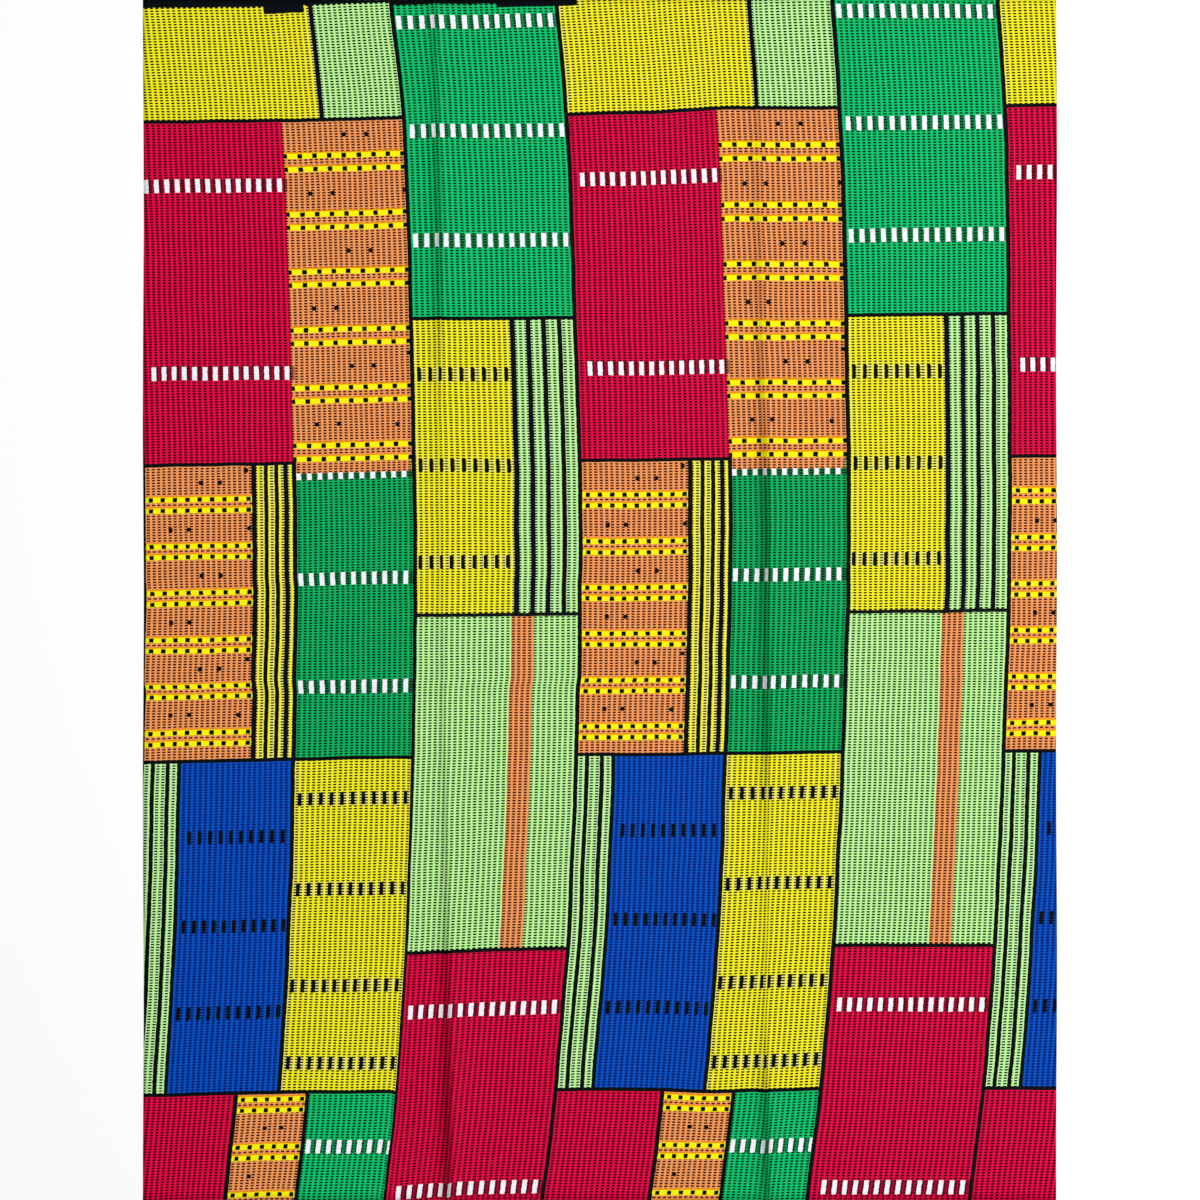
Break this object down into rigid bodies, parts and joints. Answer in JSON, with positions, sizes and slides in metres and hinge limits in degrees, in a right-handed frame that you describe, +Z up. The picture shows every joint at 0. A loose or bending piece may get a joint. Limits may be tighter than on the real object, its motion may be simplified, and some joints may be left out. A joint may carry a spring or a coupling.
{
  "type": "wax print fabric",
  "caption": "Cut length of cotton wax print cloth lying flat in the creases of its folding, for sewing, wrapping or display.",
  "frame": {"origin": "middle of the underside, on the surface that the cloth lies on", "axes": "+Z up out of the printed face, +Y along the cloth's length towards the end with the printed border, +X across its width"},
  "size_m": [0.76, 1, 0.0113],
  "materials": {
    "printed_cotton": "plain-weave cotton with a smooth wax print finish in yellow, red, green, blue, orange, white and black"
  },
  "bodies": {
    "root": {"cloth": "printed_cotton"}
  },
  "joints": []
}
